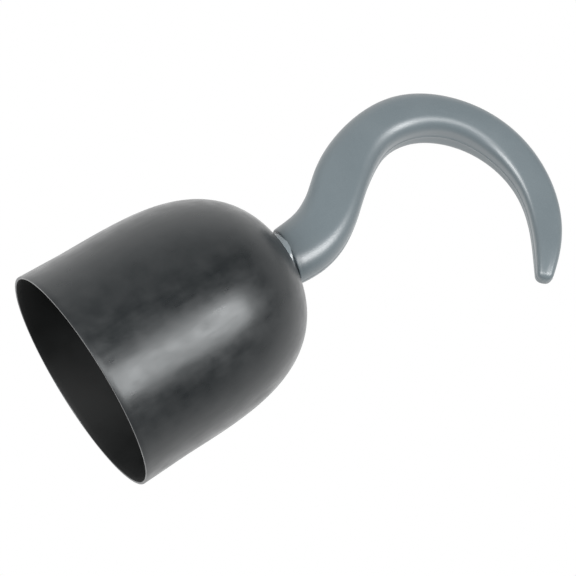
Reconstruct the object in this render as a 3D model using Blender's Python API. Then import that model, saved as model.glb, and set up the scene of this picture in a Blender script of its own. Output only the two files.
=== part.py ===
"""Costume hook hand: a black cuff cup worn over the fist, with a grey hook that turns on its crown.

Frame: metres, +Z up, the cup's mouth on z = 0 and its axis on +Z. The hook bends over towards +X
and is split along the plane y = 0 into a front half (-Y) and a rear half (+Y). The cup stays on the
wearer's arm. The hook, collar, washer, neck plug and grip turn together about the cup's axis.
"""
import math

import bmesh
import bpy
import numpy as np
from mathutils import Matrix, Vector

MM = 0.001
GAP = 0.3 * MM                     # clearance between pieces that touch

# Cuff cup: a straight side with a little draft, then a blunt dome (a superellipse)
MOUTH_RADIUS = 55.0 * MM
SIDE_HEIGHT = 23.0 * MM
SIDE_TOP_RADIUS = 54.3 * MM
CUP_HEIGHT = 113.8 * MM
DOME_HEIGHT_POWER = 3.5
DOME_RADIUS_POWER = 2.25
CUP_WALL = 1.3 * MM
CROWN_HOLE_RADIUS = 12.3 * MM
CROWN_LAND_Z = 110.2 * MM          # flat underside of the thickened crown

# Pieces stacked on the axis
COLLAR_RADIUS = 11.7 * MM
PLUG_STEM_RADIUS = 6.0 * MM
BORE_RADIUS = PLUG_STEM_RADIUS + GAP
WASHER_RADIUS = 16.0 * MM
WASHER_THICKNESS = 2.0 * MM
SCREW_RADIUS = 2.0 * MM
SCREW_HOLE_RADIUS = SCREW_RADIUS + GAP

# Hook: stations from the neck to the tip, in millimetres, on the plane y = 0
# (x, z, half width in the hook's plane, half depth across it, edge radius)
HOOK_STATIONS = (
    (0.9, 115.4, 14.3, 12.0, 11.4),
    (0.0, 131.0, 14.9, 12.0, 10.5),
    (-6.4, 146.0, 13.5, 12.0, 7.4),
    (-16.2, 159.0, 13.3, 12.0, 6.5),
    (-24.1, 172.4, 12.6, 12.0, 7.5),
    (-28.9, 186.4, 11.4, 12.0, 7.8),
    (-28.4, 204.8, 10.9, 11.8, 7.4),
    (-15.3, 225.4, 9.3, 11.8, 5.6),
    (8.1, 238.4, 9.2, 8.9, 4.0),
    (35.0, 239.3, 8.3, 6.8, 3.2),
    (57.4, 230.1, 7.3, 5.9, 3.0),
    (75.0, 215.4, 4.4, 5.3, 3.0),
    (78.4, 212.0, 3.6, 4.3, 2.8),
)
HOOK_WALL = 2.2 * MM
HOOK_FLOOR = 3.0 * MM              # end wall over the crown
HOOK_SOLID_TIP = 16.0 * MM         # length of the tip that is not hollow
HOOK_RINGS = 34
HOOK_BASE_EDGE = 1.0 * MM          # rounding round the end over the crown
HOOK_TIP_EDGE = 3.0 * MM
EDGE_SHARES = (0.0, 0.12, 0.35, 0.65)  # where sections are taken within a rounded end
FOOT_TILT = math.radians(8.0)      # the hook's foot slopes down towards +X, after the crown
FOOT_RUN = (6.0 * MM, 24.0 * MM)   # sections lie like the foot up to here, square to the hook by there
CORNER_STEPS = 6
PEG_PLACES = (0.30, 0.53, 0.76)    # along the hook, as fractions of its length
PEG_RADIUS = 1.5 * MM
PEG_REACH = 3.0 * MM
BOSS_RADIUS = 3.2 * MM

# Neck plug: a square head keyed into the hook, over a round stem
PLUG_HEAD_HALF = 9.2 * MM
PLUG_HEAD_HEIGHT = 4.0 * MM
PLUG_HEAD_CORNER = 7.0 * MM
PLUG_BOSS_RADIUS = 5.5 * MM
PLUG_TOP_Z = 132.0 * MM

# Grip: a crossbar along Y, gripped by the fist, on a flat stem that passes between two fingers
GRIP_BAR_Z = 62.0 * MM
GRIP_BAR_HALF_LENGTH = 42.0 * MM
GRIP_BAR_RADIUS = 11.0 * MM
GRIP_BAR_WAIST = 9.6 * MM
GRIP_BAR_END_ROUNDING = 4.0 * MM
GRIP_STEM_HALF_X = 10.0 * MM
GRIP_STEM_HALF_Y = 5.5 * MM
GRIP_HEAD_RADIUS = 13.0 * MM
GRIP_HEAD_HEIGHT = 4.0 * MM
GRIP_HEAD_EDGE = 0.5 * MM
GRIP_FLARE_HEIGHT = 12.0 * MM      # from the flat stem up to the round head
GRIP_SEAT_Z = 59.3 * MM            # where the screw's washer bears, inside the bar
COUNTERBORE_RADIUS = 5.4 * MM
SCREW_WASHER_RADIUS = 4.8 * MM
SCREW_WASHER_THICKNESS = 0.8 * MM
SCREW_HEAD_RADIUS = 4.2 * MM
SCREW_HEAD_HEIGHT = 2.7 * MM
SCREW_SLOT = (4.4 * MM, 1.0 * MM, 2.4 * MM)  # length, width and height of each cutter of the cross
SCREW_TOP_Z = 128.0 * MM

TURN_STEPS = 56                    # facets round the cup
SMALL_STEPS = 36                   # facets round the smaller turned pieces


def clear_scene():
    for obj in list(bpy.data.objects):
        bpy.data.objects.remove(obj, do_unlink=True)


def material(name, colour, roughness, metallic=0.0):
    mat = bpy.data.materials.new(name)
    mat.use_nodes = True
    shader = mat.node_tree.nodes["Principled BSDF"]
    shader.inputs["Base Color"].default_value = (*colour, 1.0)
    shader.inputs["Roughness"].default_value = roughness
    shader.inputs["Metallic"].default_value = metallic
    mat.diffuse_color = (*colour, 1.0)
    return mat


def add_object(name, bm, mat=None, parent=None, sharp_angle=35.0):
    """Makes a named object from a bmesh, closed and facing out, smooth except at its edges."""
    bmesh.ops.recalc_face_normals(bm, faces=bm.faces)
    mesh = bpy.data.meshes.new(name)
    bm.to_mesh(mesh)
    bm.free()
    mesh.shade_smooth()
    mesh.set_sharp_from_angle(angle=math.radians(sharp_angle))
    obj = bpy.data.objects.new(name, mesh)
    bpy.context.scene.collection.objects.link(obj)
    obj.parent = parent
    if mat is not None:
        mesh.materials.append(mat)
    return obj


def turn_outline(bm, outline, steps, place=None):
    """Turns an outline of (radius, height) points about its Z axis, the cup's axis by default.

    The outline is a closed loop, or it runs from the axis back to the axis.
    """
    verts = [bm.verts.new((radius, 0.0, height)) for radius, height in outline]
    pairs = list(zip(verts, verts[1:]))
    if outline[0][0] > 0.0:
        pairs.append((verts[-1], verts[0]))
    edges = [bm.edges.new(pair) for pair in pairs]
    older = set(bm.verts) - set(verts)
    bmesh.ops.spin(bm, geom=verts + edges, cent=(0, 0, 0), axis=(0, 0, 1),
                   angle=2 * math.pi, steps=steps, use_merge=True)
    new = [v for v in bm.verts if v not in older]
    bmesh.ops.remove_doubles(bm, verts=new, dist=0.000001)
    if place is not None:
        new = [v for v in bm.verts if v not in older]
        bmesh.ops.transform(bm, matrix=place, verts=new)


def turned(name, outline, steps, mat=None, parent=None):
    bm = bmesh.new()
    turn_outline(bm, outline, steps)
    return add_object(name, bm, mat, parent)


def cylinder(name, radius, start, end, steps=SMALL_STEPS, mat=None, parent=None):
    """A solid round bar from start to end."""
    start = Vector(start)
    axis = Vector(end) - start
    turn = axis.to_track_quat("Z", "Y").to_matrix().to_4x4()
    place = Matrix.Translation(start + axis / 2) @ turn
    bm = bmesh.new()
    bmesh.ops.create_cone(bm, cap_ends=True, segments=steps, radius1=radius, radius2=radius,
                          depth=axis.length, matrix=place)
    return add_object(name, bm, mat, parent)


def loft(bm, rings):
    """Skins a run of equal rings of points into one closed solid of flat triangles."""
    loops = [[bm.verts.new(point) for point in ring] for ring in rings]
    for low, high in zip(loops, loops[1:]):
        for i in range(len(low)):
            j = (i + 1) % len(low)
            bm.faces.new((low[i], low[j], high[j], high[i]))
    bm.faces.new(loops[0][::-1])
    bm.faces.new(loops[-1])
    bmesh.ops.triangulate(bm, faces=bm.faces)


def use_boolean(obj, tool, operation):
    """Cuts or joins a hidden tool solid into an object."""
    tool.hide_render = True
    tool.display_type = "WIRE"
    modifier = obj.modifiers.new(tool.name, "BOOLEAN")
    modifier.operation = operation
    modifier.solver = "EXACT"
    modifier.object = tool


# ---- cuff cup ----------------------------------------------------------------------------------

def dome(side_radius, top_z, steps):
    """Points (radius, z) up a superellipse dome that stands on the straight side."""
    points = []
    for angle in np.radians(np.linspace(0.0, 90.0, steps)):
        radius = side_radius * math.cos(angle) ** (2 / DOME_RADIUS_POWER)
        height = (top_z - SIDE_HEIGHT) * math.sin(angle) ** (2 / DOME_HEIGHT_POWER)
        points.append((radius, SIDE_HEIGHT + height))
    return points


def dome_radius(side_radius, top_z, z):
    """Radius of the dome at a height."""
    rise = ((z - SIDE_HEIGHT) / (top_z - SIDE_HEIGHT)) ** DOME_HEIGHT_POWER
    return side_radius * (1 - rise) ** (1 / DOME_RADIUS_POWER)


def dome_height(side_radius, top_z, radius):
    """Height of the dome at a radius."""
    rise = 1 - (radius / side_radius) ** DOME_RADIUS_POWER
    return SIDE_HEIGHT + (top_z - SIDE_HEIGHT) * rise ** (1 / DOME_HEIGHT_POWER)


def cup_outline():
    """Closed outline of the cup's wall, from the crown hole down the outside and up the inside."""
    inside_radius = SIDE_TOP_RADIUS - CUP_WALL
    inside_top = CUP_HEIGHT - CUP_WALL
    outer = [p for p in dome(SIDE_TOP_RADIUS, CUP_HEIGHT, 15) if p[0] > CROWN_HOLE_RADIUS * 1.3]
    inner = [p for p in dome(inside_radius, inside_top, 13) if p[1] < CROWN_LAND_Z - MM]
    hole_top = (CROWN_HOLE_RADIUS, dome_height(SIDE_TOP_RADIUS, CUP_HEIGHT, CROWN_HOLE_RADIUS))
    rim = [(MOUTH_RADIUS, 0.0), (MOUTH_RADIUS - CUP_WALL, 0.0)]
    land = [(dome_radius(inside_radius, inside_top, CROWN_LAND_Z), CROWN_LAND_Z),
            (CROWN_HOLE_RADIUS, CROWN_LAND_Z)]
    return [hole_top] + outer[::-1] + rim + inner + land


def make_cuff_cup(mat, parent):
    turned("cuff_cup", cup_outline(), TURN_STEPS, mat, parent)


# ---- hook --------------------------------------------------------------------------------------

def natural_spline(knots, values, at):
    """Natural cubic through values (one row per knot), read at the given places."""
    count = len(knots)
    step = np.diff(knots)
    slope = np.diff(values, axis=0) / step[:, None]
    system = np.eye(count)
    right = np.zeros_like(values)
    for i in range(1, count - 1):
        system[i, i - 1:i + 2] = step[i - 1], 2 * (step[i - 1] + step[i]), step[i]
        right[i] = 6 * (slope[i] - slope[i - 1])
    bend = np.linalg.solve(system, right)
    cell = np.clip(np.searchsorted(knots, at, side="right") - 1, 0, count - 2)
    a = (at - knots[cell])[:, None]
    h = step[cell][:, None]
    b0, b1 = bend[cell], bend[cell + 1]
    return values[cell] + a * (slope[cell] - h * (2 * b0 + b1) / 6) \
        + a ** 2 * b0 / 2 + a ** 3 * (b1 - b0) / (6 * h)


def smooth_step(share):
    share = min(max(share, 0.0), 1.0)
    return share * share * (3 - 2 * share)


def hook_frames(distances):
    """Centre, inward normal, half width, half depth and edge radius at distances from the neck."""
    table = np.array(HOOK_STATIONS) * MM
    knots = np.concatenate([[0.0], np.cumsum(np.hypot(*np.diff(table[:, :2], axis=0).T))])
    rows = natural_spline(knots, table, distances)
    ahead = natural_spline(knots, table, distances + 0.1 * MM)
    frames = []
    for distance, row, later in zip(distances, rows, ahead):
        centre = Vector((row[0], 0.0, row[1]))
        along = (Vector((later[0], 0.0, later[1])) - centre).normalized()
        turned_away = smooth_step((distance - FOOT_RUN[0]) / (FOOT_RUN[1] - FOOT_RUN[0]))
        square_to_foot = Vector((math.sin(FOOT_TILT), 0.0, math.cos(FOOT_TILT)))
        along = square_to_foot.lerp(along, turned_away).normalized()
        frames.append((centre, Vector((along.z, 0.0, -along.x)), row[2], row[3], row[4]))
    return frames


def hook_length():
    table = np.array(HOOK_STATIONS) * MM
    return float(np.hypot(*np.diff(table[:, :2], axis=0).T).sum())


def half_section(half_width, half_depth, radius, seam):
    """Half of a rounded rectangle, (across, deep) points, from seam to seam round the flat face."""
    points = [(half_width, seam)]
    for centre, start in ((half_width - radius, 0.0), (radius - half_width, 90.0)):
        for angle in np.radians(np.linspace(start, start + 90.0, CORNER_STEPS + 1)):
            across = centre + radius * math.cos(angle)
            points.append((across, half_depth - radius + radius * math.sin(angle)))
    points.append((-half_width, seam))
    return points


def end_inset(distance, edge):
    """How far the hook's skin is drawn in at a distance from an end with a rounded edge."""
    if distance >= edge:
        return 0.0
    depth = edge - max(distance, 0.04 * MM)
    return edge - math.sqrt(edge ** 2 - depth ** 2)


def hook_solid(name, side, start, end, inset, seam, rounded):
    """One half of the hook as a solid, between two distances along it, inset from its skin."""
    length = hook_length()
    shares = np.array(EDGE_SHARES)
    body = np.linspace(start + HOOK_BASE_EDGE, end - HOOK_TIP_EDGE, HOOK_RINGS)
    distances = np.concatenate([start + HOOK_BASE_EDGE * shares, body,
                                end - HOOK_TIP_EDGE * shares[::-1]])
    rings = []
    for distance, frame in zip(distances, hook_frames(distances)):
        centre, inward, half_width, half_depth, radius = frame
        drawn_in = inset
        if rounded:
            drawn_in += end_inset(distance, HOOK_BASE_EDGE)
            drawn_in += end_inset(length - distance, HOOK_TIP_EDGE)
        radius = max(radius - drawn_in, 1.0 * MM)
        section = half_section(half_width - drawn_in, half_depth - drawn_in, radius, seam)
        rings.append([centre + inward * u + Vector((0.0, side * v, 0.0)) for u, v in section])
    bm = bmesh.new()
    loft(bm, rings)
    return add_object(name, bm)


def add_pegs(half, name, side):
    """Bosses inside a half. The front half's bosses carry pegs, and the rear half's take them."""
    inner_radius = PEG_RADIUS if side < 0 else PEG_RADIUS + GAP
    inner_end = -PEG_REACH if side < 0 else PEG_REACH + 2 * GAP
    turn = Matrix.Rotation(math.radians(-90.0 * side), 4, "X")
    bm = bmesh.new()
    for centre, _, _, half_depth, _ in hook_frames(np.array(PEG_PLACES) * hook_length()):
        root = half_depth - HOOK_WALL / 2
        outline = [(0.0, inner_end), (inner_radius, inner_end), (inner_radius, GAP / 2),
                   (BOSS_RADIUS, GAP / 2), (BOSS_RADIUS, root), (0.0, root)]
        turn_outline(bm, outline, 20, Matrix.Translation(centre) @ turn)
    use_boolean(half, add_object(name + "_bosses", bm), "UNION")


def make_hook_half(name, side, mat, parent):
    """A hollow half of the hook, open along the seam, with a half bore in its end wall."""
    length = hook_length()
    half = hook_solid(name, side, 0.0, length, 0.0, GAP / 2, True)
    half.data.materials.append(mat)
    half.parent = parent
    base = Vector((0.0, 0.0, HOOK_STATIONS[0][1] * MM))
    reach = BORE_RADIUS * math.tan(FOOT_TILT) + MM
    bore = cylinder(name + "_bore", BORE_RADIUS, base - Vector((0, 0, reach)),
                    base + Vector((0, 0, HOOK_FLOOR + reach)))
    use_boolean(half, bore, "DIFFERENCE")
    hollow = hook_solid(name + "_hollow", side, HOOK_FLOOR, length - HOOK_SOLID_TIP,
                        HOOK_WALL, -MM, False)
    use_boolean(half, hollow, "DIFFERENCE")
    add_pegs(half, name, side)


# ---- pieces on the axis ------------------------------------------------------------------------

def ring_outline(inner, outer, low, high, chamfer):
    """Closed outline of a ring with its four edges broken."""
    return [(inner, low + chamfer), (inner + chamfer, low), (outer - chamfer, low),
            (outer, low + chamfer), (outer, high - chamfer), (outer - chamfer, high),
            (inner + chamfer, high), (inner, high - chamfer)]


def make_neck_collar(mat, parent):
    """A ring whose top slopes like the hook's foot."""
    top = HOOK_STATIONS[0][1] * MM - GAP
    bm = bmesh.new()
    turn_outline(bm, ring_outline(BORE_RADIUS, COLLAR_RADIUS, CROWN_LAND_Z, top, chamfer=0.4 * MM),
                 SMALL_STEPS)
    for vert in bm.verts:
        if vert.co.z > top - MM:
            vert.co.z -= vert.co.x * math.tan(FOOT_TILT)
    add_object("neck_collar", bm, mat, parent)


def make_crown_washer(mat, parent):
    top = CROWN_LAND_Z - GAP
    outline = ring_outline(BORE_RADIUS, WASHER_RADIUS, top - WASHER_THICKNESS, top,
                           chamfer=0.3 * MM)
    turned("crown_washer", outline, SMALL_STEPS, mat, parent)


def make_neck_plug(mat, parent):
    """A square head inside the hook, a round stem below it and a boss above it for the screw."""
    low = CROWN_LAND_Z - GAP - WASHER_THICKNESS
    floor_rise = (PLUG_HEAD_HALF + MM) * math.tan(FOOT_TILT)
    head_low = HOOK_STATIONS[0][1] * MM + HOOK_FLOOR + floor_rise + GAP
    head_high = head_low + PLUG_HEAD_HEIGHT
    bm = bmesh.new()
    place = Matrix.Translation((0, 0, (head_low + head_high) / 2))
    size = Matrix.Diagonal((2 * PLUG_HEAD_HALF, 2 * PLUG_HEAD_HALF, PLUG_HEAD_HEIGHT, 1.0))
    bmesh.ops.create_cube(bm, size=1.0, matrix=place @ size)
    upright = [e for e in bm.edges if abs(e.verts[0].co.z - e.verts[1].co.z) > MM]
    bmesh.ops.bevel(bm, geom=upright, offset=PLUG_HEAD_CORNER, segments=6, affect="EDGES",
                    profile=0.5)
    plug = add_object("neck_plug", bm, mat, parent)
    stem = cylinder("neck_plug_stem", PLUG_STEM_RADIUS, (0, 0, low), (0, 0, head_low + MM))
    boss = cylinder("neck_plug_boss", PLUG_BOSS_RADIUS, (0, 0, head_high - MM), (0, 0, PLUG_TOP_Z))
    hole = cylinder("neck_plug_hole", SCREW_HOLE_RADIUS, (0, 0, low - MM),
                    (0, 0, SCREW_TOP_Z + 5 * GAP), 20)
    use_boolean(plug, stem, "UNION")
    use_boolean(plug, boss, "UNION")
    use_boolean(plug, hole, "DIFFERENCE")


# ---- grip --------------------------------------------------------------------------------------

def grip_bar_ring(y, radius, steps):
    angles = np.linspace(0.0, 2 * math.pi, steps, endpoint=False)
    return [Vector((radius * math.cos(a), y, GRIP_BAR_Z + radius * math.sin(a))) for a in angles]


def grip_bar():
    """The crossbar: waisted in the middle of each side, with rounded ends."""
    rings = []
    rounding = GRIP_BAR_END_ROUNDING
    for share in np.linspace(-1.0, 1.0, 29):
        y = share * GRIP_BAR_HALF_LENGTH
        swell = 0.5 + 0.5 * math.cos(2 * math.pi * abs(share))
        radius = GRIP_BAR_WAIST + (GRIP_BAR_RADIUS - GRIP_BAR_WAIST) * swell
        edge = GRIP_BAR_HALF_LENGTH - abs(y)
        if edge < rounding:
            radius -= rounding - math.sqrt(rounding ** 2 - (rounding - edge) ** 2)
        rings.append(grip_bar_ring(y, radius, 24))
    bm = bmesh.new()
    loft(bm, rings)
    return bm


def stem_ring(z, half_x, half_y, steps=28):
    """A level ring of the stem, an ellipse."""
    ring = []
    for a in np.linspace(0.0, 2 * math.pi, steps, endpoint=False):
        ring.append(Vector((half_x * math.cos(a), half_y * math.sin(a), z)))
    return ring


def grip_stem():
    """The stem: flat between the fingers, swelling to a round head under the washer."""
    top = CROWN_LAND_Z - 2 * GAP - WASHER_THICKNESS
    head_low = top - GRIP_HEAD_HEIGHT
    flare_low = head_low - GRIP_FLARE_HEIGHT
    bm = bmesh.new()
    rings = [stem_ring(GRIP_BAR_Z, GRIP_STEM_HALF_X, GRIP_STEM_HALF_Y)]
    for share in np.linspace(0.0, 1.0, 7):
        ease = share ** 2
        half_x = GRIP_STEM_HALF_X + (GRIP_HEAD_RADIUS - GRIP_STEM_HALF_X) * ease
        half_y = GRIP_STEM_HALF_Y + (GRIP_HEAD_RADIUS - GRIP_STEM_HALF_Y) * ease
        rings.append(stem_ring(flare_low + (head_low - flare_low) * share, half_x, half_y))
    rings.append(stem_ring(top - GRIP_HEAD_EDGE, GRIP_HEAD_RADIUS, GRIP_HEAD_RADIUS))
    rings.append(stem_ring(top, GRIP_HEAD_RADIUS - GRIP_HEAD_EDGE, GRIP_HEAD_RADIUS - GRIP_HEAD_EDGE))
    loft(bm, rings)
    return add_object("grip_handle_stem", bm)


def make_grip_handle(mat, parent):
    grip = add_object("grip_handle", grip_bar(), mat, parent)
    use_boolean(grip, grip_stem(), "UNION")
    low = GRIP_BAR_Z - GRIP_BAR_RADIUS - MM
    counterbore = cylinder("grip_handle_counterbore", COUNTERBORE_RADIUS, (0, 0, low),
                           (0, 0, GRIP_SEAT_Z), 28)
    use_boolean(grip, counterbore, "DIFFERENCE")
    hole = cylinder("grip_handle_hole", SCREW_HOLE_RADIUS, (0, 0, low), (0, 0, CUP_HEIGHT), 20)
    use_boolean(grip, hole, "DIFFERENCE")


def make_grip_screw(mat, parent):
    """A long pan-head screw with a cross recess, from the bar up into the neck plug."""
    seat = GRIP_SEAT_Z - 2 * GAP - SCREW_WASHER_THICKNESS
    low = seat - SCREW_HEAD_HEIGHT
    outline = [(0.0, low), (SCREW_HEAD_RADIUS * 0.62, low), (SCREW_HEAD_RADIUS * 0.9, low + 0.7 * MM),
               (SCREW_HEAD_RADIUS, low + 1.6 * MM), (SCREW_HEAD_RADIUS, seat), (SCREW_RADIUS, seat),
               (SCREW_RADIUS, SCREW_TOP_Z - 1.5 * MM), (0.5 * SCREW_RADIUS, SCREW_TOP_Z),
               (0.0, SCREW_TOP_Z)]
    screw = turned("grip_screw", outline, 20, mat, parent)
    for name, turn in (("x", 0.0), ("y", math.pi / 2)):
        bm = bmesh.new()
        size = Matrix.Diagonal((*SCREW_SLOT, 1.0))
        place = Matrix.Translation((0, 0, low)) @ Matrix.Rotation(turn, 4, "Z")
        bmesh.ops.create_cube(bm, size=1.0, matrix=place @ size)
        use_boolean(screw, add_object("grip_screw_slot_" + name, bm), "DIFFERENCE")


def make_grip_screw_washer(mat, parent):
    top = GRIP_SEAT_Z - GAP
    outline = ring_outline(SCREW_HOLE_RADIUS, SCREW_WASHER_RADIUS, top - SCREW_WASHER_THICKNESS,
                           top, chamfer=0.15 * MM)
    turned("grip_screw_washer", outline, 28, mat, parent)


def main():
    clear_scene()
    black = material("black_moulded", (0.018, 0.018, 0.019), 0.38)
    grey = material("grey_moulded", (0.155, 0.185, 0.205), 0.36)
    bright = material("grey_polished", (0.25, 0.29, 0.31), 0.18)
    nylon = material("nylon", (0.62, 0.60, 0.55), 0.45)
    grip_black = material("black_grip", (0.025, 0.025, 0.027), 0.6)
    steel = material("plated_steel", (0.62, 0.62, 0.60), 0.28, 1.0)

    swivel = bpy.data.objects.new("hook_swivel_axis", None)
    bpy.context.scene.collection.objects.link(swivel)

    make_cuff_cup(black, None)
    make_hook_half("hook_half_front", -1, grey, swivel)
    make_hook_half("hook_half_rear", 1, grey, swivel)
    make_neck_collar(bright, swivel)
    make_crown_washer(nylon, swivel)
    make_neck_plug(grey, swivel)
    make_grip_handle(grip_black, swivel)
    make_grip_screw(steel, swivel)
    make_grip_screw_washer(steel, swivel)


main()
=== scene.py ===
"""Costume hook hand: the visible pieces, their materials, the studio and the camera.

Metres, +Z up. The cup stands mouth down on z = 0 with its axis on +Z, and the hook bends over
towards +X in the plane y = 0. The hook, collar, washer, plug and grip turn about the cup's axis.
"""
import math

import bmesh
import bpy
import numpy as np
from mathutils import Matrix, Vector


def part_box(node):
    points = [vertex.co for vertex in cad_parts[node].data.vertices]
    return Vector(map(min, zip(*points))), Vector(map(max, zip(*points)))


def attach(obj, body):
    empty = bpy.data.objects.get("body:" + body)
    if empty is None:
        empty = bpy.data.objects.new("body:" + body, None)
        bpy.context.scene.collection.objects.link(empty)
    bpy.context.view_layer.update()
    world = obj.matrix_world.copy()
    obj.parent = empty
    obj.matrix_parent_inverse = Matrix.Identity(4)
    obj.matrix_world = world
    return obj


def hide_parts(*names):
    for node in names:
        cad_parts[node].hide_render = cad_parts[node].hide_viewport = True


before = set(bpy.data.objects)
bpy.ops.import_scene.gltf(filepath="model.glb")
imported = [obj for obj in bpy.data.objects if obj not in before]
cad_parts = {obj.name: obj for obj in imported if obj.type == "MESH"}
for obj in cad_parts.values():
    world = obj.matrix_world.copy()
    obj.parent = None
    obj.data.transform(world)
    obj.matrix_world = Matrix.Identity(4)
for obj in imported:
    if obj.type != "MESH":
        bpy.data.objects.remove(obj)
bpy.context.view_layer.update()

MM = 0.001

# ---- camera ------------------------------------------------------------------------------------
VIEW_AZIMUTH = 15.99               # degrees round from looking along +Y
VIEW_ELEVATION = -17.83            # the view looks up into the cup's mouth
VIEW_ROLL = 58.26                  # the cup lies on its side in the view
VIEW_DISTANCE = 0.8984
VIEW_CENTRE = (0.01414, 0.0, 0.10695)
VIEW_LENS = 119.45

# ---- studio ------------------------------------------------------------------------------------
ROOM_DIM = 0.09                    # brightness of the room away from its bright parts
# bright parts of the room: azimuth, elevation, angles from their middle up to which they are full
# and at which they end, brightness
ROOM_PARTS = (
    (196.0, 18.0, 55.0, 115.0, 1.25),
    (-56.0, 24.0, 8.0, 40.0, 0.45),
)
# name, azimuth, elevation, distance, width, height, power
SOFTBOXES = (
    ("right", 38.6, 20.5, 1.2, 0.58, 0.7, 16.2),
    ("left", -8.0, -40.0, 1.2, 0.6, 0.6, 18.0),
    ("front", 22.0, -8.0, 1.3, 0.6, 0.6, 6.4),
)

# ---- cup ---------------------------------------------------------------------------------------
SIDE_HEIGHT = 23.0 * MM
SIDE_DRAFT = 0.7 * MM              # how much narrower the straight side is at its top
DOME_HEIGHT_POWER = 3.5
DOME_RADIUS_POWER = 2.25
CUP_WALL = 1.3 * MM
COLLAR_CLEARANCE = 0.6 * MM
CUP_SEGMENTS = 192
DOME_RINGS = 72
RIM_OVAL = 0.006                   # how far the mouth is out of round, as a share of its radius
RIM_OVAL_ANGLE = math.radians(70.0)
RIM_OVAL_HEIGHT = 75.0 * MM        # the ovalness fades out up to here
RIM_EDGE = ((0.0, 0.35 * MM), (0.08 * MM, 0.1 * MM), (0.3 * MM, 0.0))  # inset and height, eased
CROWN_HOLE_EDGES = (0.5 * MM, 0.3 * MM)  # rounding of the hole's upper and lower edges
DOME_STOPS = (0.8 * MM, 0.5 * MM)  # the dome's skins end this far from the hole and from the land

# ---- hook --------------------------------------------------------------------------------------
# x, height over the hook's foot, half width in the hook's plane, half depth, edge radius, in mm
HOOK_STATIONS = (
    (0.9, 0.0, 14.3, 12.0, 11.4),
    (0.0, 15.6, 14.9, 12.0, 10.5),
    (-6.4, 30.6, 13.5, 12.0, 7.4),
    (-16.2, 43.6, 13.3, 12.0, 6.5),
    (-24.1, 57.0, 12.6, 12.0, 7.5),
    (-28.9, 71.0, 11.4, 12.0, 7.8),
    (-28.4, 89.4, 10.9, 11.8, 7.4),
    (-15.3, 110.0, 9.3, 12.1, 6.2),
    (8.1, 123.0, 9.2, 9.8, 5.6),
    (35.0, 123.9, 8.3, 7.2, 3.8),
    (57.4, 114.7, 7.3, 5.9, 3.0),
    (75.0, 100.0, 4.4, 5.3, 3.0),
    (78.4, 96.6, 3.6, 4.3, 2.8),
)
HOOK_WALL = 2.2 * MM
HOOK_FLOOR = 3.0 * MM
HOOK_SOLID_TIP = 16.0 * MM
FOOT_EDGE = 0.6 * MM               # rounding of the foot's edge at the hook's narrow faces
FOOT_EASE = (4.0 * MM, 1.2 * MM)   # height and depth of the easing of its broad faces
HOOK_TIP_EDGE = 3.0 * MM
HOOK_LEAST_RADIUS = 0.8 * MM
HOOK_END_LEDGE = 0.4 * MM          # how far the closed ends of a half's skin reach inwards
PLUG_OVER_FOOT = 16.6 * MM         # from the middle of the hook's foot up to the top of the plug
FOOT_TILT = math.radians(8.0)      # the hook's foot slopes down towards +X, after the crown
FOOT_RUN = (1.0 * MM, 40.0 * MM)   # sections lie like the foot up to the first distance along
                                   # the hook, and square to it from the second
HOOK_RINGS = 200
HOOK_CROWNING = 0.2 * MM           # how far the broad faces stand proud along their middle
SEAM_GAP = 0.02 * MM
BEAD_HEIGHT = 0.14 * MM            # moulding flash along the parting line
BEAD_WIDTH = 0.3 * MM
PEG_PLACES = (0.30, 0.53, 0.76)
PEG_RADIUS = 1.5 * MM
PEG_REACH = 3.0 * MM
BOSS_RADIUS = 3.2 * MM
BOSS_CHAMFER = 0.2 * MM
FIT_GAP = 0.3 * MM

# ---- pieces on the axis ------------------------------------------------------------------------
STEM_BORE = 6.3 * MM               # bore of the collar, the washer and the hook's end wall
COLLAR_TOP_LIFT = 0.15 * MM        # the collar reaches this much further up, close under the foot
COLLAR_LIP = (1.2 * MM, 1.15 * MM)  # width and height of its lip under the hook's broad faces
PLUG_STEM_RADIUS = 6.0 * MM
PLUG_BOSS_RADIUS = 5.5 * MM
PLUG_CORNER = 7.0 * MM
PLUG_HEAD = (11.9 * MM, 7.9 * MM)  # bottom and top of the plug's head below the plug's top
PLUG_EDGE = ((0.4 * MM, 0.0), (0.1 * MM, 0.1 * MM), (0.0, 0.4 * MM))  # inset and height, eased
SCREW_HOLE = 2.3 * MM
SCREW_HOLE_CHAMFER = 0.2 * MM
SCREW_RADIUS = 2.0 * MM
SCREW_SEAT_GAP = 0.02 * MM         # between the washer and the faces that it lies on
THREAD_PITCH = 1.4 * MM
THREAD_DEPTH = 0.45 * MM
THREAD_LENGTH = 24.0 * MM
SCREW_TIP = 1.2 * MM
RECESS_REACH = 2.3 * MM            # half length of each arm of the screw's cross recess
RECESS_WIDTH = 0.84 * MM
RECESS_DEPTH = 1.5 * MM
GRIP_BAR_RADIUS = 11.0 * MM
GRIP_BAR_WAIST = 9.6 * MM
GRIP_END_ROUNDING = 4.0 * MM
GRIP_STEM_HALF = (10.0 * MM, 5.5 * MM)
GRIP_HEAD_HEIGHT = 4.0 * MM
GRIP_FLARE_HEIGHT = 12.0 * MM
GRIP_COUNTERBORE = 5.4 * MM
GRIP_VOXEL = 0.7 * MM

# ---- materials ---------------------------------------------------------------------------------
MIX_COLOURS = (6, 7)               # the Mix node's sockets for its two colours
MIX_COLOUR_OUT = 2


# ---- mesh helpers ------------------------------------------------------------------------------

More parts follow.
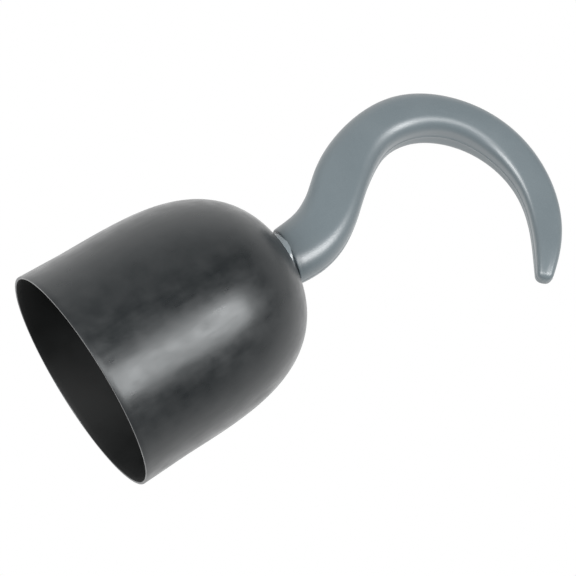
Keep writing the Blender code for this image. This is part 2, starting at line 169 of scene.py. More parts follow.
def add_piece(name, bm, mats, body, replaces, sharp_angle=40.0):
    """Makes a named piece that rides on a body and stands for the CAD nodes it replaces."""
    mesh = bpy.data.meshes.new(name)
    bm.to_mesh(mesh)
    bm.free()
    mesh.shade_smooth()
    mesh.set_sharp_from_angle(angle=math.radians(sharp_angle))
    for mat in mats:
        mesh.materials.append(mat)
    piece = bpy.data.objects.new(name, mesh)
    bpy.context.scene.collection.objects.link(piece)
    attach(piece, body)
    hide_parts(*replaces)
    return piece


def face_out(bm, faces=None):
    """Turns the faces' normals outwards."""
    bmesh.ops.recalc_face_normals(bm, faces=faces or bm.faces)


def skin(bm, rings, wrap=False, closed=False):
    """Quads between successive rings of points. wrap joins the last ring to the first."""
    loops = [[bm.verts.new(point) for point in ring] for ring in rings]
    pairs = list(zip(loops, loops[1:]))
    if wrap:
        pairs.append((loops[-1], loops[0]))
    faces = []
    count = len(loops[0])
    for low, high in pairs:
        for i in range(count if closed else count - 1):
            j = (i + 1) % count
            faces.append(bm.faces.new((low[i], low[j], high[j], high[i])))
    return loops, faces


def circle(radius, height, steps, shape=None):
    """A level ring round the axis; shape(angle, height) scales its radius where given."""
    ring = []
    for angle in np.linspace(0.0, 2 * math.pi, steps, endpoint=False):
        r = radius * (shape(angle, height) if shape else 1.0)
        ring.append((r * math.cos(angle), r * math.sin(angle), height))
    return ring


def turned_ring(bm, outline, steps, shape=None):
    """A ring-shaped solid: a closed outline of (radius, height) turned about the cup's axis."""
    rings = [circle(radius, height, steps, shape) for radius, height in outline]
    return skin(bm, rings, wrap=True, closed=True)


def capped(bm, rings):
    """A solid: a skin between closed rings, with a face over the first and the last."""
    loops, _ = skin(bm, rings, closed=True)
    bm.faces.new(loops[0][::-1])
    bm.faces.new(loops[-1])


def turned_solid(bm, outline, steps):
    """A solid without a bore: an outline of (radius, height) from one end to the other."""
    capped(bm, [circle(radius, height, steps) for radius, height in outline])


def eased_corners(corners, steps=4):
    """A closed outline whose corners, each (radius, height, rounding), are eased."""
    points = []
    for i, (radius, height, rounding) in enumerate(corners):
        here = Vector((radius, height))
        before = Vector(corners[i - 1][:2]) - here
        after = Vector(corners[(i + 1) % len(corners)][:2]) - here
        cut = min(rounding, before.length * 0.49, after.length * 0.49)
        start = here + before.normalized() * cut
        end = here + after.normalized() * cut
        for share in np.linspace(0.0, 1.0, steps + 1):
            points.append(tuple(start.lerp(here, share).lerp(here.lerp(end, share), share)))
    return points


# ---- materials ---------------------------------------------------------------------------------

class Surface:
    """A Principled material with colour, roughness and bump from noise in the piece's space."""

    def __init__(self, name, **constants):
        self.mat = bpy.data.materials.new(name)
        self.mat.use_nodes = True
        self.nodes = self.mat.node_tree.nodes
        self.shader = self.nodes["Principled BSDF"]
        self.place = self.nodes.new("ShaderNodeTexCoord").outputs["Object"]
        for socket, value in constants.items():
            self.shader.inputs[socket.replace("_", " ")].default_value = value
        self.normal = None

    def link(self, output, socket):
        self.mat.node_tree.links.new(output, socket)

    def noise(self, size, detail=2.0, stretch=(1.0, 1.0, 1.0), shift=0.0):
        """Smooth noise with features of about the given size, longer along the stretched axes."""
        mapping = self.nodes.new("ShaderNodeMapping")
        mapping.inputs["Scale"].default_value = [1.0 / s for s in stretch]
        mapping.inputs["Location"].default_value = (shift, 0.7 * shift, 1.3 * shift)
        self.link(self.place, mapping.inputs["Vector"])
        texture = self.nodes.new("ShaderNodeTexNoise")
        texture.inputs["Scale"].default_value = 1.0 / size
        texture.inputs["Detail"].default_value = detail
        self.link(mapping.outputs["Vector"], texture.inputs["Vector"])
        return texture.outputs["Fac"]

    def rescale(self, value, low, high, out_low, out_high):
        """Maps a value from low..high to out_low..out_high, and holds it there."""
        node = self.nodes.new("ShaderNodeMapRange")
        for socket, number in zip(("From Min", "From Max", "To Min", "To Max"),
                                  (low, high, out_low, out_high)):
            node.inputs[socket].default_value = number
        self.link(value, node.inputs["Value"])
        return node.outputs["Result"]

    def maths(self, operation, first, second):
        node = self.nodes.new("ShaderNodeMath")
        node.operation = operation
        for value, socket in zip((first, second), node.inputs):
            if isinstance(value, float):
                socket.default_value = value
            else:
                self.link(value, socket)
        return node.outputs[0]

    def mixed(self, share, first, second):
        """A colour between two others; each is a colour triple or another mix."""
        node = self.nodes.new("ShaderNodeMix")
        node.data_type = "RGBA"
        self.link(share, node.inputs["Factor"])
        for value, place in zip((first, second), MIX_COLOURS):
            if isinstance(value, tuple):
                node.inputs[place].default_value = (*value, 1.0)
            else:
                self.link(value, node.inputs[place])
        return node.outputs[MIX_COLOUR_OUT]

    def colour(self, output):
        self.link(output, self.shader.inputs["Base Color"])

    def roughness(self, output):
        self.link(output, self.shader.inputs["Roughness"])

    def bump(self, height, depth):
        """Adds relief of the given depth in metres to the surface."""
        node = self.nodes.new("ShaderNodeBump")
        node.inputs["Distance"].default_value = depth
        node.inputs["Strength"].default_value = 1.0
        self.link(height, node.inputs["Height"])
        if self.normal is not None:
            self.link(self.normal, node.inputs["Normal"])
        self.normal = node.outputs["Normal"]
        self.link(self.normal, self.shader.inputs["Normal"])


def cup_outside():
    """Satin black moulding: a wavy, blotchy gloss with faint flow streaks."""
    surface = Surface("cup_outside_black", Specular_Tint=(0.97, 1.0, 1.01, 1.0))
    blotch = surface.noise(8 * MM, detail=2.0)
    cloud = surface.noise(30 * MM, detail=2.0, shift=0.3)
    wave = surface.noise(12 * MM, detail=1.0, stretch=(1.0, 1.0, 1.6), shift=0.5)
    streak = surface.noise(2.4 * MM, detail=1.0, stretch=(1.0, 1.0, 5.0), shift=0.9)
    surface.colour(surface.mixed(surface.rescale(blotch, 0.15, 0.85, 0.0, 1.0),
                                 (0.0065, 0.0079, 0.0087), (0.0148, 0.0162, 0.017)))
    rough = surface.maths("ADD", surface.rescale(blotch, 0.15, 0.85, 0.25, 0.39),
                          surface.rescale(cloud, 0.15, 0.85, -0.05, 0.06))
    surface.roughness(surface.maths("ADD", rough, surface.rescale(streak, 0.1, 0.9, -0.04, 0.05)))
    surface.bump(wave, 0.15 * MM)
    surface.bump(streak, 0.006 * MM)
    return surface.mat


def cup_inside():
    """Duller black with a fine grain; its black is darker than the outside's, painted shade for the
    inside of the cup.
    """
    surface = Surface("cup_inside_black_painted_shade", Specular_IOR_Level=0.3)
    grain = surface.noise(0.8 * MM, detail=3.0)
    cloud = surface.noise(14 * MM, detail=3.0, shift=0.4)
    # colours darker than the outside's black: painted shade inside the cup
    surface.colour(surface.mixed(cloud, (0.003, 0.0034, 0.0034), (0.007, 0.0078, 0.0078)))
    surface.roughness(surface.rescale(cloud, 0.3, 0.7, 0.52, 0.66))
    surface.bump(grain, 0.02 * MM)
    return surface.mat


def hook_grey():
    """Satin blue-grey with fine paler flecks."""
    surface = Surface("hook_blue_grey", Specular_IOR_Level=0.8)
    cloud = surface.noise(16 * MM, detail=3.0)
    fleck = surface.noise(0.5 * MM, detail=1.0, shift=0.5)
    grain = surface.noise(0.6 * MM, detail=2.0, shift=0.2)
    base = surface.mixed(cloud, (0.083, 0.103, 0.113), (0.091, 0.112, 0.122))
    flecked = surface.rescale(fleck, 0.35, 0.7, 0.0, 0.5)
    surface.colour(surface.mixed(flecked, base, (0.108, 0.130, 0.141)))
    surface.roughness(surface.rescale(cloud, 0.3, 0.7, 0.34, 0.40))
    surface.bump(cloud, 0.04 * MM)
    surface.bump(grain, 0.005 * MM)
    return surface.mat


def collar_grey():
    """Glossier and paler blue-grey; the paler colour is a painted sheen on a ring of the hook's own
    blue-grey.
    """
    surface = Surface("collar_grey_painted_sheen")
    cloud = surface.noise(5 * MM, detail=3.0)
    # colours paler than the hook's blue-grey: painted sheen
    surface.colour(surface.mixed(cloud, (0.18, 0.21, 0.225), (0.22, 0.25, 0.265)))
    surface.roughness(surface.rescale(cloud, 0.3, 0.7, 0.19, 0.25))
    return surface.mat


def grip_black():
    """Black with a fine moulded texture."""
    surface = Surface("grip_black")
    grain = surface.noise(0.7 * MM, detail=3.0)
    surface.colour(surface.mixed(grain, (0.02, 0.02, 0.021), (0.034, 0.034, 0.035)))
    surface.roughness(surface.rescale(grain, 0.3, 0.7, 0.5, 0.66))
    surface.bump(grain, 0.08 * MM)
    return surface.mat


def nylon():
    """Natural, undyed nylon."""
    surface = Surface("washer_nylon")
    cloud = surface.noise(4 * MM, detail=2.0)
    surface.colour(surface.mixed(cloud, (0.60, 0.58, 0.52), (0.68, 0.66, 0.60)))
    surface.roughness(surface.rescale(cloud, 0.3, 0.7, 0.38, 0.5))
    return surface.mat


def zinc_steel():
    """Zinc-plated steel."""
    surface = Surface("screw_zinc_steel", Metallic=1.0)
    cloud = surface.noise(2 * MM, detail=3.0)
    surface.colour(surface.mixed(cloud, (0.56, 0.56, 0.55), (0.68, 0.68, 0.66)))
    surface.roughness(surface.rescale(cloud, 0.3, 0.7, 0.22, 0.36))
    return surface.mat


# ---- cup ---------------------------------------------------------------------------------------

def make_cup():
    """The thin-walled cup, from the rim up its outside, round the crown's hole and down inside."""
    low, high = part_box("cuff_cup")
    mouth = (high[0] - low[0]) / 2
    side_top = mouth - SIDE_DRAFT
    collar_low, collar_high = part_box("neck_collar")
    hole = (collar_high[0] - collar_low[0]) / 2 + COLLAR_CLEARANCE
    hole_rise = (1 - (hole / side_top) ** DOME_RADIUS_POWER) ** (1 / DOME_HEIGHT_POWER)
    top = SIDE_HEIGHT + (high[2] - SIDE_HEIGHT) / hole_rise
    land = collar_low[2]

    def dome(radius, height, angle):
        return (radius * math.cos(angle) ** (2 / DOME_RADIUS_POWER),
                SIDE_HEIGHT + (height - SIDE_HEIGHT) * math.sin(angle) ** (2 / DOME_HEIGHT_POWER))

    def oval(angle, height):
        fade = max(0.0, 1.0 - height / RIM_OVAL_HEIGHT) ** 2
        return 1.0 + RIM_OVAL * fade * math.cos(2 * (angle - RIM_OVAL_ANGLE))

    angles = np.linspace(0.0, math.pi / 2, DOME_RINGS)
    outer = [p for p in (dome(side_top, top, a) for a in angles) if p[0] > hole + DOME_STOPS[0]]
    inner = [p for p in (dome(side_top - CUP_WALL, top - CUP_WALL, a) for a in angles)
             if p[1] < land - DOME_STOPS[1]]
    side = [(mouth - SIDE_DRAFT * share, SIDE_HEIGHT * share) for share in np.linspace(0, 1, 9)]
    corners = eased_corners([(*outer[-1], 0.0), (hole, high[2], CROWN_HOLE_EDGES[0]),
                             (hole, land, CROWN_HOLE_EDGES[1]), (hole + 4 * MM, land, 0.0)])
    hole_edge = corners[6:14]      # the hole's two edges, less their ends on the dome and the land
    rim_outside = [(mouth - inset, z) for inset, z in RIM_EDGE[::-1]]
    rim_inside = [(mouth - CUP_WALL + inset, z) for inset, z in RIM_EDGE[::-1]]
    outside = rim_outside + side[1:-1] + outer
    inside = rim_inside + [(r - CUP_WALL, z) for r, z in side[1:-1]] + inner
    outline = outside + hole_edge + inside[::-1]
    bm = bmesh.new()
    _, faces = turned_ring(bm, outline, CUP_SEGMENTS, oval)
    # the inside rings take the second material, whose darker black is painted shade
    inside_rings = range(len(outside) + len(hole_edge), len(outline) - len(RIM_EDGE))
    for index, face in enumerate(faces):
        face.material_index = 1 if index // CUP_SEGMENTS in inside_rings else 0
    face_out(bm)
    add_piece("cup_shell", bm, [cup_outside(), cup_inside()], "cup", ["cuff_cup"])


# ---- hook --------------------------------------------------------------------------------------

def natural_spline(knots, values, at):
    """Natural cubic through values (one row per knot), read at the given places."""
    count = len(knots)
    step = np.diff(knots)
    slope = np.diff(values, axis=0) / step[:, None]
    system = np.eye(count)
    right = np.zeros_like(values)
    for i in range(1, count - 1):
        system[i, i - 1:i + 2] = step[i - 1], 2 * (step[i - 1] + step[i]), step[i]
        right[i] = 6 * (slope[i] - slope[i - 1])
    bend = np.linalg.solve(system, right)
    cell = np.clip(np.searchsorted(knots, at, side="right") - 1, 0, count - 2)
    a = (at - knots[cell])[:, None]
    h = step[cell][:, None]
    b0, b1 = bend[cell], bend[cell + 1]
    return values[cell] + a * (slope[cell] - h * (2 * b0 + b1) / 6) \
        + a ** 2 * b0 / 2 + a ** 3 * (b1 - b0) / (6 * h)


def smooth_step(share):
    """Eases a share between 0 and 1 at both ends."""
    share = min(max(share, 0.0), 1.0)
    return share * share * (3 - 2 * share)


def hook_table():
    """The stations in metres, at their heights in the frame, and their distances along the hook."""
    table = np.array(HOOK_STATIONS) * MM
    knots = np.concatenate([[0.0], np.cumsum(np.hypot(*np.diff(table[:, :2], axis=0).T))])
    table[:, 1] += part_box("neck_plug")[1][2] - PLUG_OVER_FOOT
    return knots, table


def hook_frames(distances):
    """Centre, inward direction, half width, half depth and edge radius along the hook."""
    knots, table = hook_table()
    rows = natural_spline(knots, table, distances)
    ahead = natural_spline(knots, table, distances + 0.1 * MM)
    frames = []
    for distance, row, later in zip(distances, rows, ahead):
        centre = Vector((row[0], 0.0, row[1]))
        along = (Vector((later[0], 0.0, later[1])) - centre).normalized()
        turned_away = smooth_step((distance - FOOT_RUN[0]) / (FOOT_RUN[1] - FOOT_RUN[0]))
        square_to_foot = Vector((math.sin(FOOT_TILT), 0.0, math.cos(FOOT_TILT)))
        along = square_to_foot.lerp(along, turned_away).normalized()
        frames.append((centre, Vector((along.z, 0.0, -along.x)), row[2], row[3], row[4]))
    return frames


def end_inset(distance, height, depth):
    """How far the hook's skin is drawn in at a distance from an end with a rounded edge."""
    if distance >= height:
        return 0.0
    share = 1.0 - max(distance, 0.01 * height) / height
    return depth * (1.0 - math.sqrt(1.0 - share ** 2))


def section(half_width, half_depth, radius, bead=0.0):
    """Half of a rounded rectangle as (across, deep) points, from seam to seam round one side.

    With a bead, which is the hook's outside, the flash stands on the seams and the broad face
    is crowned.
    """
    flat = half_width - radius
    points = []
    for deep, rise in ((SEAM_GAP / 2, 1.0), (0.25 * BEAD_WIDTH, 0.95), (0.55 * BEAD_WIDTH, 0.6),
                       (0.8 * BEAD_WIDTH, 0.2), (BEAD_WIDTH, 0.0)):
        points.append((half_width + bead * rise, deep))
    for share in (0.35, 0.7):
        points.append((half_width, BEAD_WIDTH + (half_depth - radius - BEAD_WIDTH) * share))
    for angle in np.radians(np.linspace(0.0, 90.0, 13)):
        deep = half_depth - radius + radius * math.sin(angle)
        points.append((flat + radius * math.cos(angle), deep))
    other_side = [(-across, deep) for across, deep in reversed(points)]
    crowning = HOOK_CROWNING if bead > 0 else 0.0
    for share in np.linspace(0.0, 1.0, 10)[1:-1]:
        across = flat * (1 - 2 * share)
        points.append((across, half_depth + crowning * (1 - (across / flat) ** 2)))
    return points + other_side


def floor_section(half_width, count, bore, centre_x):
    """The inner edge of the hook's end wall: along the seam and round the half bore."""
    start, end = -centre_x + bore, -centre_x - bore
    level = SEAM_GAP / 2
    points = []
    for share in np.linspace(0.0, 1.0, count):
        if share < 0.3:
            points.append((half_width + (start - half_width) * share / 0.3, level))
        elif share > 0.7:
            points.append((end + (-half_width - end) * (share - 0.7) / 0.3, level))
        else:
            angle = math.pi * (share - 0.3) / 0.4
            points.append((-centre_x + bore * math.cos(angle), level + bore * math.sin(angle)))
    return points


def hook_rings(side, bore):
    """Outer and inner rings of points of one hollow half, from the foot to the tip."""
    knots, _ = hook_table()
    length = knots[-1]
    rounds = np.array([0.0, 0.03, 0.08, 0.16, 0.28, 0.42, 0.6, 0.8])
    body = np.linspace(FOOT_EASE[0], length - HOOK_TIP_EDGE, HOOK_RINGS)
    hollow_start, hollow_end = HOOK_FLOOR, length - HOOK_SOLID_TIP
    steps = [FOOT_EDGE * rounds, np.linspace(FOOT_EDGE, FOOT_EASE[0], 12), body,
             length - HOOK_TIP_EDGE * rounds[::-1],
             (hollow_start - 0.01 * MM, hollow_start, hollow_end, hollow_end + 0.01 * MM)]
    distances = np.unique(np.concatenate(steps))
    outer, inner = [], []
    for distance, row in zip(distances, hook_frames(distances)):
        centre, inward, half_width, half_depth, radius = row
        tip_inset = end_inset(length - distance, HOOK_TIP_EDGE, HOOK_TIP_EDGE)
        drawn_in = tip_inset + end_inset(distance, FOOT_EDGE, FOOT_EDGE)
        depth = half_depth - tip_inset - end_inset(distance, *FOOT_EASE)
        bead = BEAD_HEIGHT * min(1.0, (distance / FOOT_EDGE) ** 0.5)
        width = half_width - drawn_in
        edge_radius = min(max(radius - drawn_in, HOOK_LEAST_RADIUS), depth - 0.4 * MM,
                          0.95 * width)
        outside = section(width, depth, edge_radius, bead)
        count = len(outside)
        if distance < hollow_start:
            inside = floor_section(width - HOOK_END_LEDGE, count, bore, centre.x)
        elif distance <= hollow_end:
            inside = section(half_width - HOOK_WALL, half_depth - HOOK_WALL,
                             max(radius - HOOK_WALL, 1.0 * MM))
        else:
            edge = max(width - HOOK_END_LEDGE, 0.1 * MM)
            inside = [(edge * (1 - 2 * i / (count - 1)), SEAM_GAP / 2) for i in range(count)]
        for ring, points in ((outer, outside), (inner, inside)):
            ring.append([centre + inward * u + Vector((0.0, side * v, 0.0)) for u, v in points])
    return outer, inner


def add_bosses(bm, side):
    """Bosses inside a half. The front half's bosses carry pegs, and the rear half's take them."""
    knots, _ = hook_table()
    turn = Matrix.Rotation(math.radians(-90.0 * side), 4, "X")
    for centre, _, _, half_depth, _ in hook_frames(np.array(PEG_PLACES) * knots[-1]):
        root = half_depth - HOOK_WALL / 2
        if side < 0:
            peg_end = -PEG_REACH
            outline = [(PEG_RADIUS * 0.7, peg_end), (PEG_RADIUS, peg_end + 0.4 * MM),
                       (PEG_RADIUS, SEAM_GAP)]
        else:
            depth = PEG_REACH + 2 * FIT_GAP
            outline = [(PEG_RADIUS, depth), (PEG_RADIUS + FIT_GAP, depth),
                       (PEG_RADIUS + FIT_GAP, SEAM_GAP)]
        outline += [(BOSS_RADIUS - BOSS_CHAMFER, SEAM_GAP), (BOSS_RADIUS, BOSS_CHAMFER),
                    (BOSS_RADIUS, root)]
        older = set(bm.verts)
        turned_solid(bm, outline, 32)
        new = [v for v in bm.verts if v not in older]
        bmesh.ops.transform(bm, matrix=Matrix.Translation(centre) @ turn, verts=new)


def make_hook_half(name, node, side, mat):
    """One hollow half of the hook: side -1 is the front one, at -Y, and 1 is the rear one."""
    outer, inner = hook_rings(side, STEM_BORE)
    bm = bmesh.new()
    outside, _ = skin(bm, outer)
    inside, _ = skin(bm, inner)
    for k in range(len(outside) - 1):
        for i in (0, -1):
            bm.faces.new((outside[k][i], outside[k + 1][i], inside[k + 1][i], inside[k][i]))
    for ring_out, ring_in in ((outside[0], inside[0]), (outside[-1], inside[-1])):
        for i in range(len(ring_out) - 1):
            bm.faces.new((ring_out[i], ring_out[i + 1], ring_in[i + 1], ring_in[i]))
    face_out(bm)
    add_bosses(bm, side)
    face_out(bm)
    add_piece(name, bm, [mat], "hook_unit", [node])


# ---- pieces on the axis ------------------------------------------------------------------------

def make_collar():
    """A ring whose top slopes like the hook's foot and rises under its eased broad faces."""
    low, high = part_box("neck_collar")
    radius = (high[0] - low[0]) / 2
    slope = math.tan(FOOT_TILT)
    top = high[2] - radius * slope + COLLAR_TOP_LIFT
    lip_width, lip_height = COLLAR_LIP
    outline = eased_corners([
        (STEM_BORE, low[2], 0.3 * MM), (radius, low[2], 0.4 * MM), (radius, top, 0.2 * MM),
        (radius - 0.5 * MM, top, 0.1 * MM), (radius - lip_width, top, 0.1 * MM),
        (STEM_BORE, top, 0.3 * MM)], 6)
    bm = bmesh.new()
    turned_ring(bm, outline, 144)
    for vert in bm.verts:
        if vert.co.z > top - MM:
            reach = math.hypot(vert.co.x, vert.co.y)
            share = max(0.0, (reach - radius) / lip_width + 1.0)
            vert.co.z += lip_height * (share * vert.co.y / reach) ** 2 - vert.co.x * slope
    face_out(bm)
    add_piece("collar_ring", bm, [collar_grey()], "hook_unit", ["neck_collar"])


def make_washer(name, node, bore, easing, mat):
    """A flat ring with the CAD node's outer radius and height."""
    low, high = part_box(node)
    radius = (high[0] - low[0]) / 2
    outline = eased_corners([
        (bore, low[2], easing), (radius, low[2], easing), (radius, high[2], easing),
        (bore, high[2], easing)], 5)
    bm = bmesh.new()
    turned_ring(bm, outline, 96)
    face_out(bm)
    add_piece(name, bm, [mat], "hook_unit", [node])


def rounded_square(half, corner, height, steps):
    """A level ring round the axis: a square with rounded corners."""
    ring = []
    inner = half - corner
    for angle in np.linspace(0.0, 2 * math.pi, steps, endpoint=False):
        wide = max(abs(math.cos(angle)), abs(math.sin(angle)))
        narrow = min(abs(math.cos(angle)), abs(math.sin(angle)))
        reach = half / wide
        if reach * narrow > inner:
            round_part = math.sqrt(corner ** 2 - (inner * (wide - narrow)) ** 2)
            reach = inner * (wide + narrow) + round_part
        ring.append((reach * math.cos(angle), reach * math.sin(angle), height))
    return ring


def make_plug(mat):
    """A stem, a square head keyed into the hook and a boss for the screw, with one hole through."""
    low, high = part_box("neck_plug")
    half = (high[0] - low[0]) / 2
    head_low, head_high = high[2] - PLUG_HEAD[0], high[2] - PLUG_HEAD[1]
    steps = 96
    rings = [circle(SCREW_HOLE, low[2] + SCREW_HOLE_CHAMFER, steps),
             circle(SCREW_HOLE + SCREW_HOLE_CHAMFER, low[2], steps)]
    for inset, rise in PLUG_EDGE:
        rings.append(circle(PLUG_STEM_RADIUS - inset, low[2] + rise, steps))
    for inset, rise in PLUG_EDGE[::-1]:
        rings.append(circle(PLUG_STEM_RADIUS + inset, head_low - rise, steps))
    for inset, rise in PLUG_EDGE:
        rings.append(rounded_square(half - inset, PLUG_CORNER - inset, head_low + rise, steps))
    for inset, rise in PLUG_EDGE[::-1]:
        rings.append(rounded_square(half - inset, PLUG_CORNER - inset, head_high - rise, steps))
    for inset, rise in PLUG_EDGE:
        rings.append(circle(PLUG_BOSS_RADIUS + inset, head_high + rise, steps))
    for inset, rise in PLUG_EDGE[::-1]:
        rings.append(circle(PLUG_BOSS_RADIUS - inset, high[2] - rise, steps))
    rings += [circle(SCREW_HOLE + SCREW_HOLE_CHAMFER, high[2], steps),
              circle(SCREW_HOLE, high[2] - SCREW_HOLE_CHAMFER, steps)]
    bm = bmesh.new()
    skin(bm, rings, wrap=True, closed=True)
    face_out(bm)
    add_piece("plug_body", bm, [mat], "hook_unit", ["neck_plug"])


def temporary(bm):
    """An object that only serves to make another one."""
    face_out(bm)
    mesh = bpy.data.meshes.new("temporary")
    bm.to_mesh(mesh)
    bm.free()
    obj = bpy.data.objects.new("temporary", mesh)
    bpy.context.scene.collection.objects.link(obj)
    return obj


def worked(obj, cutters=()):
    """The mesh of a temporary object after its modifiers and the cutters; removes them all."""
    for cutter in cutters:
        modifier = obj.modifiers.new("cut", "BOOLEAN")
        modifier.operation = "DIFFERENCE"
        modifier.solver = "EXACT"
        modifier.object = cutter
    graph = bpy.context.evaluated_depsgraph_get()
    bm = bmesh.new()
    bm.from_object(obj, graph)
    for used in (obj, *cutters):
        bpy.data.objects.remove(used, do_unlink=True)
    return bm


def cross_cutter(height):
    """The tapered cross that cuts the recess into the screw's head, from below."""
    bm = bmesh.new()
    arm, half = RECESS_REACH, RECESS_WIDTH / 2
    corners = [(arm, half), (half, half), (half, arm), (-half, arm), (-half, half), (-arm, half),
               (-arm, -half), (-half, -half), (-half, -arm), (half, -arm), (half, -half),
               (arm, -half)]
    rings = []
    for share, z in ((1.15, height - 0.6 * MM), (1.0, height), (0.35, height + RECESS_DEPTH)):
        across = 0.6 + 0.4 * share
        rings.append([(x * share, y * across, z) if abs(x) > abs(y)
                      else (x * across, y * share, z) for x, y in corners])
    capped(bm, rings)
    return temporary(bm)


def thread_ring(height, bottom, top, steps):
    """A level ring of the screw's shank; between bottom and top it carries a helical thread."""
    grown = min(1.0, (height - bottom) / (2 * THREAD_PITCH), (top - height) / (1.5 * THREAD_PITCH))
    ring = []
    for angle in np.linspace(0.0, 2 * math.pi, steps, endpoint=False):
        turn = (height / THREAD_PITCH - angle / (2 * math.pi)) % 1.0
        groove = THREAD_DEPTH * max(grown, 0.0) * min(1.0, 2.6 * abs(turn - 0.5))
        r = SCREW_RADIUS - groove
        ring.append((r * math.cos(angle), r * math.sin(angle), height))
    return ring


def make_screw(mat):
    """A pan-head screw with a cross recess and a threaded upper end."""
    low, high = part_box("grip_screw")
    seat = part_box("grip_screw_washer")[0][2] - SCREW_SEAT_GAP
    head = (high[0] - low[0]) / 2
    steps = 48
    tall = seat - low[2]
    outline = [(head * 0.1, low[2]), (head * 0.45, low[2] + 0.03 * MM),
               (head * 0.72, low[2] + 0.12 * tall)]
    for share in np.linspace(0.15, 1.0, 6):
        outline.append((head * math.sin(math.radians(48 + 42 * share)),
                        low[2] + tall * (0.16 + 0.6 * share)))
    outline += [(head, seat - 0.15 * MM), (head - 0.15 * MM, seat), (SCREW_RADIUS + 0.3 * MM, seat),
                (SCREW_RADIUS, seat + 0.3 * MM)]
    rings = [circle(radius, height, steps) for radius, height in outline]
    bottom = high[2] - THREAD_LENGTH
    rings.append(circle(SCREW_RADIUS, bottom - 0.1 * MM, steps))
    tip = high[2] - SCREW_TIP
    for height in np.arange(bottom, tip, THREAD_PITCH / 10):
        rings.append(thread_ring(height, bottom, high[2], steps))
    rings.append(circle(SCREW_RADIUS * 0.75, tip, steps))
    rings.append(circle(SCREW_RADIUS * 0.4, high[2], steps))
    blank = bmesh.new()
    capped(blank, rings)
    bm = worked(temporary(blank), [cross_cutter(low[2])])
    face_out(bm)
    add_piece("screw_long", bm, [mat], "hook_unit", ["grip_screw"], sharp_angle=32.0)


def grip_bar(centre, half_length):
    """The crossbar along Y: swollen in the middle and at its rounded ends, slimmer between."""
    rings = []
    ends = GRIP_END_ROUNDING * (1 - np.cos(np.radians(np.linspace(0.0, 90.0, 9)[:-1])))
    places = np.concatenate([ends, np.linspace(GRIP_END_ROUNDING, half_length, 30)])
    for y in np.concatenate([places - half_length, (half_length - places)[::-1][1:]]):
        swell = 0.5 + 0.5 * math.cos(2 * math.pi * abs(y) / half_length)
        radius = GRIP_BAR_WAIST + (GRIP_BAR_RADIUS - GRIP_BAR_WAIST) * swell
        edge = half_length - abs(y)
        if edge < GRIP_END_ROUNDING:
            radius -= GRIP_END_ROUNDING - math.sqrt(
                GRIP_END_ROUNDING ** 2 - (GRIP_END_ROUNDING - edge) ** 2)
        rings.append([(radius * math.cos(a), y, centre + radius * math.sin(a))
                      for a in np.linspace(0.0, 2 * math.pi, 72, endpoint=False)])
    bm = bmesh.new()
    capped(bm, rings)
    return bm


def add_grip_stem(bm, centre, top, head):
    """Adds the stem: flat between the fingers, swelling to a round head under the washer."""
    def ellipse(z, half_x, half_y):
        return [(half_x * math.cos(a), half_y * math.sin(a), z)
                for a in np.linspace(0.0, 2 * math.pi, 72, endpoint=False)]

    half_x, half_y = GRIP_STEM_HALF
    head_low = top - GRIP_HEAD_HEIGHT
    rings = [ellipse(centre, half_x, half_y)]
    for share in np.linspace(0.0, 1.0, 16):
        ease = share ** 2
        rings.append(ellipse(head_low - GRIP_FLARE_HEIGHT * (1 - share),
                             half_x + (head - half_x) * ease, half_y + (head - half_y) * ease))
    for drawn_in, drop in ((0.0, 0.8), (0.1, 0.3), (0.35, 0.1), (0.8, 0.0)):
        rings.append(ellipse(top - drop * MM, head - drawn_in * MM, head - drawn_in * MM))
    capped(bm, rings)


def round_cutter(radius, low, high):
    """A temporary cylinder on the axis that cuts a bore."""
    bm = bmesh.new()
    turned_solid(bm, [(radius, low), (radius, high)], 64)
    return temporary(bm)


def make_grip():
    """The crossbar and its stem as one moulding, blended and counterbored for the screw."""
    low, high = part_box("grip_handle")
    centre = low[2] + GRIP_BAR_RADIUS
    bm = grip_bar(centre, (high[1] - low[1]) / 2)
    add_grip_stem(bm, centre, high[2], (high[0] - low[0]) / 2)
    blank = temporary(bm)
    remesh = blank.modifiers.new("blend", "REMESH")
    remesh.mode = "VOXEL"
    remesh.voxel_size = GRIP_VOXEL
    ease = blank.modifiers.new("ease", "SMOOTH")
    ease.factor = 0.5
    ease.iterations = 8
    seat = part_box("grip_screw_washer")[1][2] + SCREW_SEAT_GAP
    cutters = [round_cutter(GRIP_COUNTERBORE, low[2] - MM, seat),
               round_cutter(SCREW_HOLE, low[2] - MM, high[2] + MM)]
    bm = worked(blank, cutters)
    face_out(bm)
    add_piece("grip_body", bm, [grip_black()], "hook_unit", ["grip_handle"])


# ---- the studio --------------------------------------------------------------------------------

def direction(azimuth, elevation):
    """The direction towards something seen at an azimuth, turning from -Y to +X, and elevation."""
    azimuth, elevation = math.radians(azimuth), math.radians(elevation)
    return Vector((math.sin(azimuth) * math.cos(elevation),
                   -math.cos(azimuth) * math.cos(elevation), math.sin(elevation)))


def add_camera():
    """The camera at the photo's viewing angle, rolled as the photo shows the cup."""
    back = direction(VIEW_AZIMUTH, VIEW_ELEVATION)
    level_right = Vector((-back.y, back.x, 0.0)).normalized()
    level_up = back.cross(level_right)
    roll = math.radians(VIEW_ROLL)
    right = level_right * math.cos(roll) + level_up * math.sin(roll)
    up = back.cross(right)
    camera = bpy.data.objects.new("camera", bpy.data.cameras.new("camera"))
    bpy.context.scene.collection.objects.link(camera)
    camera.data.lens = VIEW_LENS
    camera.data.clip_start = 0.01
    camera.data.clip_end = 100.0
    turn = Matrix((right, up, back)).transposed().to_4x4()
    camera.matrix_world = Matrix.Translation(Vector(VIEW_CENTRE) + back * VIEW_DISTANCE) @ turn
    bpy.context.scene.camera = camera


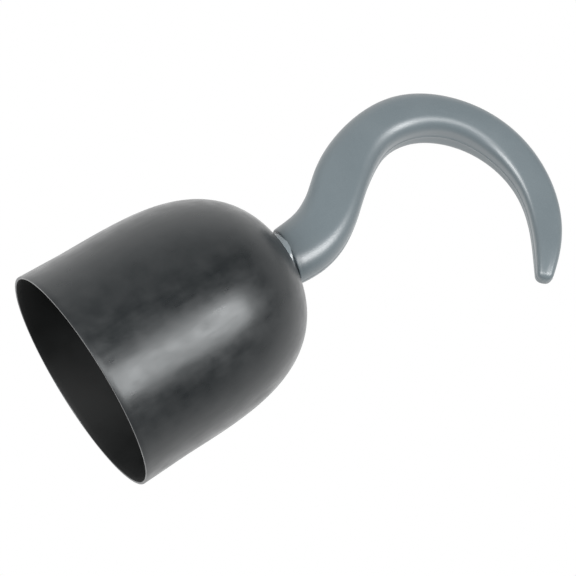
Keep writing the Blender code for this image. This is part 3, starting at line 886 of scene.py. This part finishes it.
def add_softbox(name, azimuth, elevation, distance, width, height, power):
    """A rectangular light that faces the object and that the camera doesn't see."""
    light = bpy.data.objects.new(name, bpy.data.lights.new(name, "AREA"))
    bpy.context.scene.collection.objects.link(light)
    light.data.shape = "RECTANGLE"
    light.data.size = width
    light.data.size_y = height
    light.data.energy = power
    towards = direction(azimuth, elevation)
    light.location = Vector(VIEW_CENTRE) + towards * distance
    light.rotation_mode = "QUATERNION"
    light.rotation_quaternion = towards.to_track_quat("Z", "Y")
    light.visible_camera = False


def add_world():
    """A dim room with broad bright parts round the object. The camera sees it as plain white."""
    world = bpy.data.worlds.new("studio")
    bpy.context.scene.world = world
    world.use_nodes = True
    nodes, links = world.node_tree.nodes, world.node_tree.links
    coordinate = nodes.new("ShaderNodeTexCoord")
    brightness = nodes.new("ShaderNodeValue")
    brightness.outputs[0].default_value = ROOM_DIM
    room = brightness.outputs[0]
    for azimuth, elevation, full, end, strength in ROOM_PARTS:
        facing = nodes.new("ShaderNodeVectorMath")
        facing.operation = "DOT_PRODUCT"
        facing.inputs[1].default_value = direction(azimuth, elevation)
        links.new(coordinate.outputs["Generated"], facing.inputs[0])
        part = nodes.new("ShaderNodeMapRange")
        part.interpolation_type = "SMOOTHSTEP"
        edges = math.cos(math.radians(end)), math.cos(math.radians(full))
        for socket, value in zip(("From Min", "From Max", "To Min", "To Max"),
                                 (*edges, 0.0, strength)):
            part.inputs[socket].default_value = value
        links.new(facing.outputs["Value"], part.inputs["Value"])
        total = nodes.new("ShaderNodeMath")
        links.new(room, total.inputs[0])
        links.new(part.outputs["Result"], total.inputs[1])
        room = total.outputs[0]
    path = nodes.new("ShaderNodeLightPath")
    seen = nodes.new("ShaderNodeMix")
    seen.inputs["B"].default_value = 1.0
    links.new(path.outputs["Is Camera Ray"], seen.inputs["Factor"])
    links.new(room, seen.inputs["A"])
    background = nodes["Background"]
    background.inputs["Color"].default_value = (1.0, 1.0, 1.0, 1.0)
    links.new(seen.outputs["Result"], background.inputs["Strength"])


def add_floor():
    """A pale floor under the cup that is seen from above only."""
    bm = bmesh.new()
    bmesh.ops.create_grid(bm, x_segments=1, y_segments=1, size=4.0)
    mesh = bpy.data.meshes.new("floor")
    bm.to_mesh(mesh)
    bm.free()
    floor = bpy.data.objects.new("floor", mesh)
    floor.location.z = -0.4 * MM
    bpy.context.scene.collection.objects.link(floor)
    mat = bpy.data.materials.new("floor_pale")
    mat.use_nodes = True
    nodes, links = mat.node_tree.nodes, mat.node_tree.links
    shader = nodes["Principled BSDF"]
    shader.inputs["Base Color"].default_value = (0.86, 0.86, 0.86, 1.0)
    shader.inputs["Roughness"].default_value = 0.9
    shader.inputs["Specular IOR Level"].default_value = 0.1
    clear = nodes.new("ShaderNodeBsdfTransparent")
    facing = nodes.new("ShaderNodeNewGeometry")
    mix = nodes.new("ShaderNodeMixShader")
    links.new(facing.outputs["Backfacing"], mix.inputs["Fac"])
    links.new(shader.outputs["BSDF"], mix.inputs[1])
    links.new(clear.outputs["BSDF"], mix.inputs[2])
    links.new(mix.outputs["Shader"], nodes["Material Output"].inputs["Surface"])
    mesh.materials.append(mat)
    floor.visible_diffuse = False
    floor.visible_glossy = False
    floor.visible_transmission = False
    floor.visible_shadow = False


grey = hook_grey()
make_cup()
make_hook_half("hook_front", "hook_half_front", -1, grey)
make_hook_half("hook_rear", "hook_half_rear", 1, grey)
make_collar()
make_washer("washer_ring", "crown_washer", STEM_BORE, 0.4 * MM, nylon())
make_plug(grey)
make_grip()
steel = zinc_steel()
make_screw(steel)
make_washer("screw_washer_ring", "grip_screw_washer", SCREW_HOLE, 0.15 * MM, steel)

add_camera()
bpy.context.scene.view_settings.view_transform = "Standard"
add_world()
add_floor()
for softbox in SOFTBOXES:
    add_softbox(*softbox)
